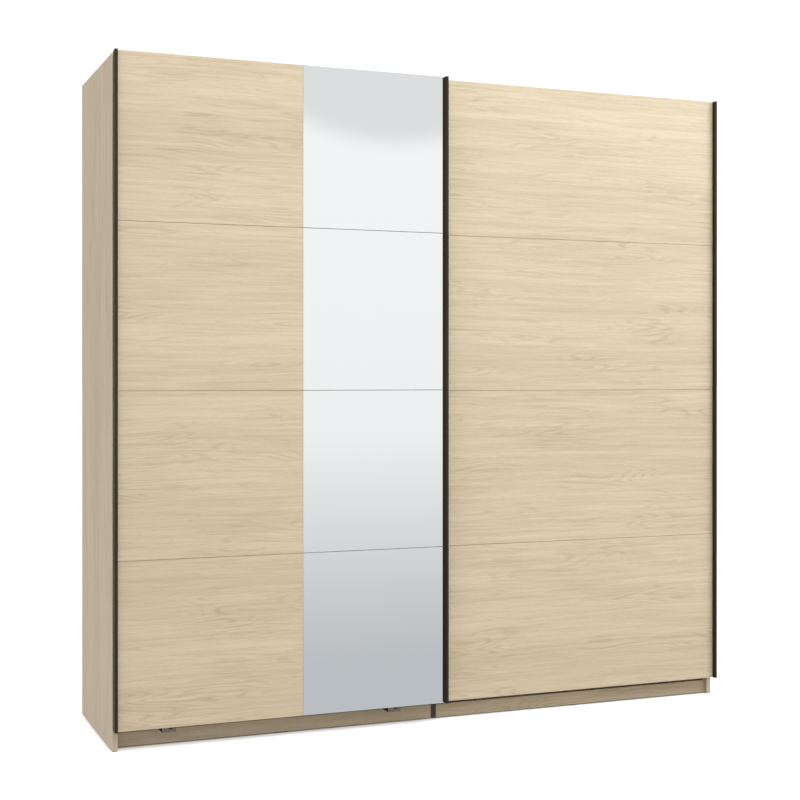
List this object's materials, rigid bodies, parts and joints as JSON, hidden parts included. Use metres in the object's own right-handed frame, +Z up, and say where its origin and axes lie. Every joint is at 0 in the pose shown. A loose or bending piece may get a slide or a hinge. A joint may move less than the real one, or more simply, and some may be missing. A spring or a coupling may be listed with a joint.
{
  "type": "sliding door wardrobe",
  "caption": "Wide free-standing wardrobe with overlapping sliding doors, partly mirrored, hung on a top track, with a hat shelf and clothes rail in each bay.",
  "frame": {"origin": "on the floor, under the middle of the wardrobe's overall box", "axes": "+X to the right seen from the front, +Y to the back, +Z up; the doors face -Y"},
  "size_m": [2.18, 0.594, 2.1505],
  "materials": {
    "oak_side": "melamine, upright grain",
    "oak_front": "melamine, level grain",
    "oak_carcass": "melamine",
    "oak_plinth": "melamine, level grain",
    "hardboard": "lacquered fibreboard",
    "mirror": "silvered float glass",
    "bronze": "dark bronze anodised",
    "aluminium": "mill finish",
    "dark_aluminium": "black anodised",
    "steel": "zinc plated",
    "chrome": "polished",
    "dark_plastic": "moulded",
    "glide": "moulded",
    "nylon": "moulded"
  },
  "bodies": {
    "carcass": {"side_panel_left": "oak_side", "side_panel_right": "oak_side", "top_panel": "oak_carcass", "centre_partition": "oak_carcass", "centre_support": "oak_carcass", "bottom_panel_left": "oak_carcass", "hat_shelf_left": "oak_carcass", "plinth_left": "oak_plinth", "back_panel_left": "hardboard", "plinth_foot_left": "dark_plastic", "glide_front_left": "glide", "glide_rear_left": "glide", "clothes_rail_left": "chrome", "rail_cup_left_outer": "chrome", "rail_cup_left_middle": "chrome", "track_stop_left": "dark_plastic", "bottom_panel_right": "oak_carcass", "hat_shelf_right": "oak_carcass", "plinth_right": "oak_plinth", "back_panel_right": "hardboard", "plinth_foot_right": "dark_plastic", "glide_front_right": "glide", "glide_rear_right": "glide", "clothes_rail_right": "chrome", "rail_cup_right_outer": "chrome", "rail_cup_right_middle": "chrome", "track_stop_right": "dark_plastic", "plinth_connector": "dark_plastic", "top_track": "aluminium", "guide_track": "dark_aluminium"},
    "door_left": {"door_left_core": "oak_carcass", "door_left_panel_1": "oak_front", "door_left_panel_2": "oak_front", "door_left_panel_3": "oak_front", "door_left_panel_4": "oak_front", "door_left_mirror_1": "mirror", "door_left_mirror_2": "mirror", "door_left_mirror_3": "mirror", "door_left_mirror_4": "mirror", "door_left_grip_left": "bronze", "door_left_grip_right": "bronze", "carriage_left_1": "steel", "guide_left_1": "steel", "carriage_left_2": "steel", "guide_left_2": "steel"},
    "door_right": {"door_right_core": "oak_carcass", "door_right_panel_1": "oak_front", "door_right_panel_2": "oak_front", "door_right_panel_3": "oak_front", "door_right_panel_4": "oak_front", "door_right_edge_strip": "bronze", "door_right_grip_right": "bronze", "carriage_right_1": "steel", "guide_right_1": "steel", "carriage_right_2": "steel", "guide_right_2": "steel"},
    "wheel_left_1": {"wheel_left_1": "nylon"},
    "wheel_left_2": {"wheel_left_2": "nylon"},
    "wheel_right_1": {"wheel_right_1": "nylon"},
    "wheel_right_2": {"wheel_right_2": "nylon"}
  },
  "joints": [
    {"name": "door_left_slide", "type": "slide", "parent": "carcass", "child": "door_left", "axis": [1, 0, 0], "range_m": [0, 1.072]},
    {"name": "door_right_slide", "type": "slide", "parent": "carcass", "child": "door_right", "axis": [1, 0, 0], "range_m": [-1.052, 0]},
    {"name": "wheel_left_1_spin", "type": "hinge", "parent": "door_left", "child": "wheel_left_1", "pos_m": [-1.035, -0.188, 2.1223], "axis": [0, 1, 0], "continuous": true},
    {"name": "wheel_left_2_spin", "type": "hinge", "parent": "door_left", "child": "wheel_left_2", "pos_m": [-0.037, -0.188, 2.1223], "axis": [0, 1, 0], "continuous": true},
    {"name": "wheel_right_1_spin", "type": "hinge", "parent": "door_right", "child": "wheel_right_1", "pos_m": [0.037, -0.214, 2.1223], "axis": [0, 1, 0], "continuous": true},
    {"name": "wheel_right_2_spin", "type": "hinge", "parent": "door_right", "child": "wheel_right_2", "pos_m": [1.035, -0.214, 2.1223], "axis": [0, 1, 0], "continuous": true}
  ],
  "couplings": [
    {"joint": "wheel_left_1_spin", "follows": "door_left_slide", "rad_per_m": 83.333},
    {"joint": "wheel_left_2_spin", "follows": "door_left_slide", "rad_per_m": 83.333},
    {"joint": "wheel_right_1_spin", "follows": "door_right_slide", "rad_per_m": 83.333},
    {"joint": "wheel_right_2_spin", "follows": "door_right_slide", "rad_per_m": 83.333}
  ]
}
